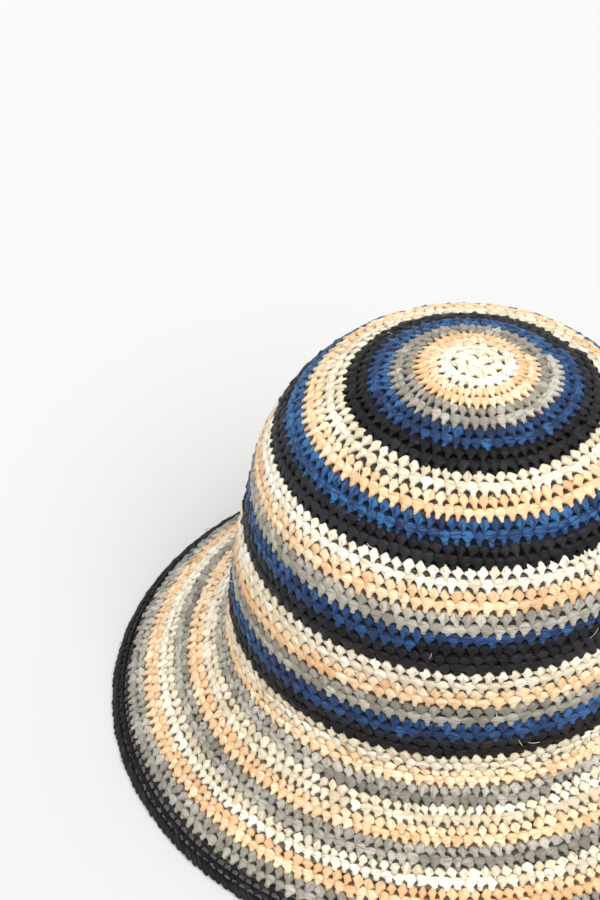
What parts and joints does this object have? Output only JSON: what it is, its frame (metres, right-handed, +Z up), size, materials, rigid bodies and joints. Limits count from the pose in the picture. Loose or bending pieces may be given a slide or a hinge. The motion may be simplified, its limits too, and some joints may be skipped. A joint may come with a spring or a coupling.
{
  "type": "crochet raffia hat",
  "caption": "Round-crowned sun hat crocheted from striped raffia, with a sloping brim and a black corded edge, resting on its rim.",
  "frame": {"origin": "on the surface that the hat rests on, under the middle of the rim", "axes": "+Z up along the hat's axis, -Y towards the side that the picture shows"},
  "size_m": [0.3044, 0.3044, 0.1887],
  "materials": {
    "cream_raffia": "cream crocheted flat raffia strands, matt with a faint sheen",
    "natural_raffia": "natural peach-coloured crocheted flat raffia strands, matt with a faint sheen",
    "grey_raffia": "grey crocheted flat raffia strands, matt with a faint sheen",
    "blue_raffia": "deep blue crocheted flat raffia strands, matt with a faint sheen",
    "black_raffia": "black crocheted flat raffia strands, matt with a faint sheen"
  },
  "bodies": {
    "root": {"crown": "cream_raffia", "brim": "natural_raffia", "rim": "black_raffia"}
  },
  "joints": []
}
